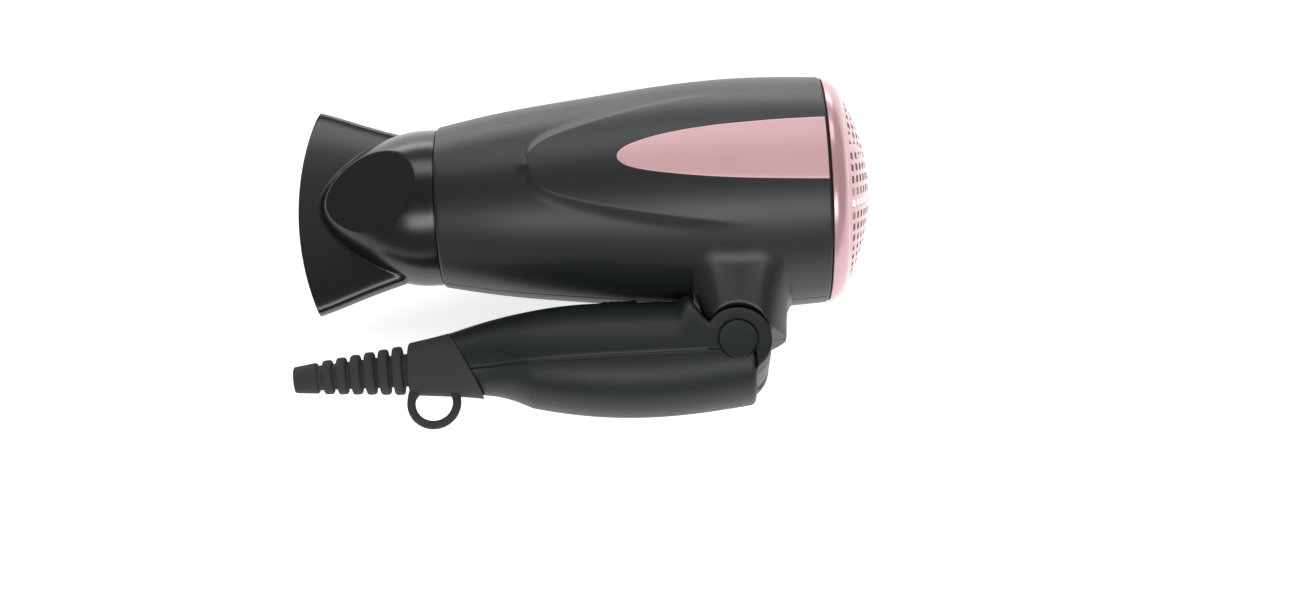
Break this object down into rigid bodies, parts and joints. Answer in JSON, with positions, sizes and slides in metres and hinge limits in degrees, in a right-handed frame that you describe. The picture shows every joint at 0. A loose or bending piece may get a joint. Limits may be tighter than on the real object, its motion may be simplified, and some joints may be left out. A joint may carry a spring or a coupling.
{
  "type": "travel hair dryer",
  "caption": "Compact travel hair dryer, folded: barrel with slot nozzle and domed air inlet, folding handle with slide switch, cord sleeve and hanging loop.",
  "frame": {"origin": "under the middle of the folded dryer's box, on the surface its barrel lies on", "axes": "+X along the barrel from the nozzle towards the air inlet, +Y from the handle up to the barrel, +Z along the fold hinge axis"},
  "size_m": [0.1846, 0.111, 0.0744],
  "materials": {
    "soft_shell": "soft-touch satin black",
    "rose_trim": "satin rose gold paint",
    "rose_ring": "satin pearl rose gold paint",
    "rose_grille": "glossy rose gold plating on plastic",
    "filter_gauze": "woven wire",
    "dark_plastic": "moulded, plain",
    "fan_plastic": "moulded, plain",
    "mica": "pressed mica sheet",
    "heater_wire": "drawn resistance wire",
    "plain_steel": "zinc plated",
    "ferrite": "sintered, dull",
    "copper": "turned copper",
    "gloss_black": "high gloss black",
    "soft_rubber": "soft matte rubber",
    "relief_rubber": "moulded matte rubber",
    "switch_plastic": "fine satin",
    "lead_cover": "smooth insulation"
  },
  "bodies": {
    "barrel": {"housing_left": "soft_shell", "housing_right": "soft_shell", "housing_screws": "plain_steel", "inlay_left": "rose_trim", "inlay_right": "rose_trim", "rear_ring": "rose_ring", "inlet_grille": "rose_grille", "inlet_filter": "filter_gauze", "outlet_guard": "dark_plastic", "heater_sleeve": "mica", "heater_board_upright": "mica", "heater_board_cross": "mica", "heater_coil": "heater_wire", "thermostat": "dark_plastic", "thermal_fuse": "plain_steel", "motor_mount": "dark_plastic", "motor_can": "plain_steel", "motor_end_bell": "dark_plastic", "motor_magnets": "ferrite", "motor_brushes": "ferrite", "rectifier_diodes": "dark_plastic", "hinge_sleeve": "plain_steel", "hinge_washers": "plain_steel", "barrel_leads": "lead_cover"},
    "fan": {"fan_impeller": "fan_plastic", "motor_shaft": "plain_steel", "rotor_core": "plain_steel", "commutator": "copper"},
    "clip_ring": {"nozzle_clip_ring": "plain_steel"},
    "nozzle": {"nozzle": "gloss_black"},
    "handle": {"handle_front_shell": "soft_shell", "handle_back_shell": "soft_shell", "handle_screws": "plain_steel", "hinge_cap_left": "soft_shell", "hinge_cap_right": "soft_shell", "switch_body": "dark_plastic", "cord_clamp": "dark_plastic", "handle_leads": "lead_cover", "hinge_leads": "lead_cover", "handle_end_cap": "soft_rubber", "strain_relief": "relief_rubber"},
    "slider": {"switch_slider": "switch_plastic"}
  },
  "joints": [
    {"name": "handle_fold", "type": "hinge", "parent": "barrel", "child": "handle", "pos_m": [0.04675, -0.03625, 0.0373], "axis": [0, 0, 1], "range_deg": [0, 85]},
    {"name": "nozzle_pull", "type": "slide", "parent": "barrel", "child": "clip_ring", "axis": [-1, 0, 0], "range_m": [0, 0.03]},
    {"name": "nozzle_turn", "type": "hinge", "parent": "clip_ring", "child": "nozzle", "pos_m": [-0.04065, 0.01825, 0.0373], "axis": [1, 0, 0], "continuous": true},
    {"name": "fan_spin", "type": "hinge", "parent": "barrel", "child": "fan", "pos_m": [0.04735, 0.01825, 0.0373], "axis": [1, 0, 0], "continuous": true},
    {"name": "switch_slide", "type": "slide", "parent": "handle", "child": "slider", "axis": [1, 0, 0], "range_m": [0, 0.008]}
  ]
}
